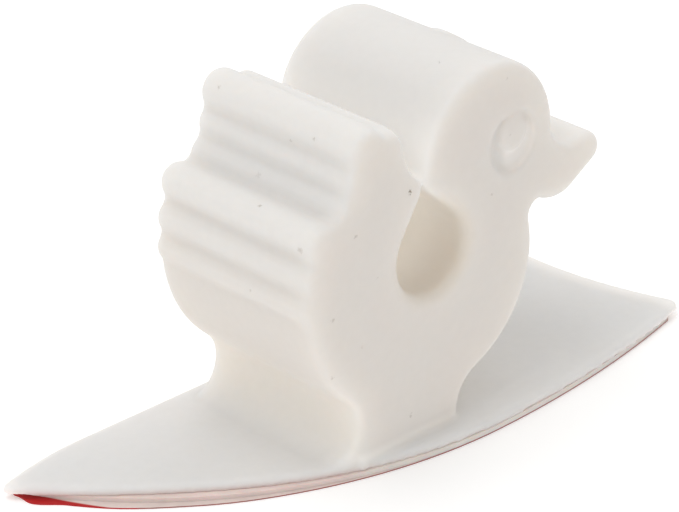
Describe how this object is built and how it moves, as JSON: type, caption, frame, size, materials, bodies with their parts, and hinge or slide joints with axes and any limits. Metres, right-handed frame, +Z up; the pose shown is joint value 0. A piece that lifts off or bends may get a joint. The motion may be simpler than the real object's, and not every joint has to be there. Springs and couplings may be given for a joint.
{
  "type": "stick-on cord keeper",
  "caption": "Silicone cord keeper shaped as a plain bird on a thin pointed pad, with a slit bore that holds a cord and an adhesive underside.",
  "frame": {"origin": "underside of the film, below the axis of the cord bore and half way across the bird", "axes": "+X towards the beak, +Y along the cord bore to the bird's far side, +Z up"},
  "size_m": [0.0496, 0.017, 0.025],
  "materials": {
    "silicone": "matte",
    "adhesive": "matte",
    "film": "gloss"
  },
  "bodies": {
    "root": {"keeper_body": "silicone", "adhesive_pad": "adhesive", "release_liner": "film"}
  },
  "joints": []
}
